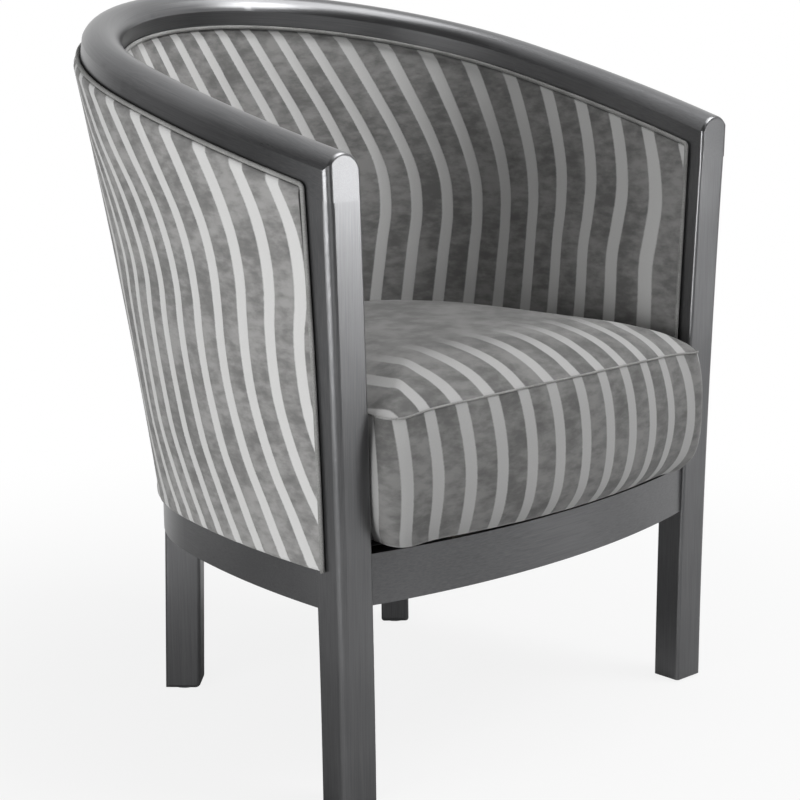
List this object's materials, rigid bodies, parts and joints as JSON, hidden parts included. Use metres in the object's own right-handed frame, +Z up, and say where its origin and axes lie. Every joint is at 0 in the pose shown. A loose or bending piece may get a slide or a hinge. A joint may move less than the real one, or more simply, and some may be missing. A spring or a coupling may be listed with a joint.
{
  "type": "barrel chair",
  "caption": "Upholstered barrel armchair: a bent show-wood frame, a wrap-round back that slopes into the arms, and a loose seat cushion that lifts out.",
  "frame": {"origin": "on the floor, under the middle of the chair's box", "axes": "+Z up, the front faces -Y, +X to the right as seen from the front"},
  "size_m": [0.6714, 0.6547, 0.8237],
  "materials": {
    "show_wood": "hardwood under a satin pewter-grey lacquer, brushed along the grain",
    "hidden_timber": "sawn beech, unfinished",
    "board": "bent hardboard",
    "steel": "zinc-plated steel",
    "striped_velvet": "grey velvet with paler satin stripes",
    "welt_cloth": "piping covered in the same grey cloth",
    "wadding": "polyester wadding",
    "foam": "polyurethane foam",
    "webbing": "woven elastic webbing",
    "black_cloth": "black non-woven cloth"
  },
  "bodies": {
    "frame": {"arm_rail_left": "show_wood", "arm_rail_right": "show_wood", "arm_upright_left": "hidden_timber", "arm_upright_right": "hidden_timber", "back_seat_rail": "show_wood", "back_top_rail": "show_wood", "back_upright_left": "hidden_timber", "back_upright_middle": "hidden_timber", "back_upright_right": "hidden_timber", "corner_block_front_left": "hidden_timber", "corner_block_front_right": "hidden_timber", "corner_block_rear_left": "hidden_timber", "corner_block_rear_right": "hidden_timber", "corner_block_screws": "steel", "dust_cloth": "black_cloth", "foot_glides": "steel", "frame_dowels": "hidden_timber", "front_post_left": "show_wood", "front_post_right": "show_wood", "front_seat_rail": "show_wood", "inside_back_foam": "foam", "inside_board": "board", "inside_cover": "striped_velvet", "inside_welt": "welt_cloth", "outside_board": "board", "outside_cover": "striped_velvet", "outside_wadding": "wadding", "outside_welt": "welt_cloth", "rear_leg_left": "show_wood", "rear_leg_right": "show_wood", "seat_deck": "black_cloth", "seat_webbing_crosswise": "webbing", "seat_webbing_lengthwise": "webbing", "side_seat_rail_left": "show_wood", "side_seat_rail_right": "show_wood"},
    "cushion": {"cushion_cover": "striped_velvet", "cushion_foam": "foam"}
  },
  "joints": [
    {"name": "cushion_lift", "type": "slide", "parent": "frame", "child": "cushion", "axis": [0, 0, 1], "range_m": [0, 0.56]}
  ]
}
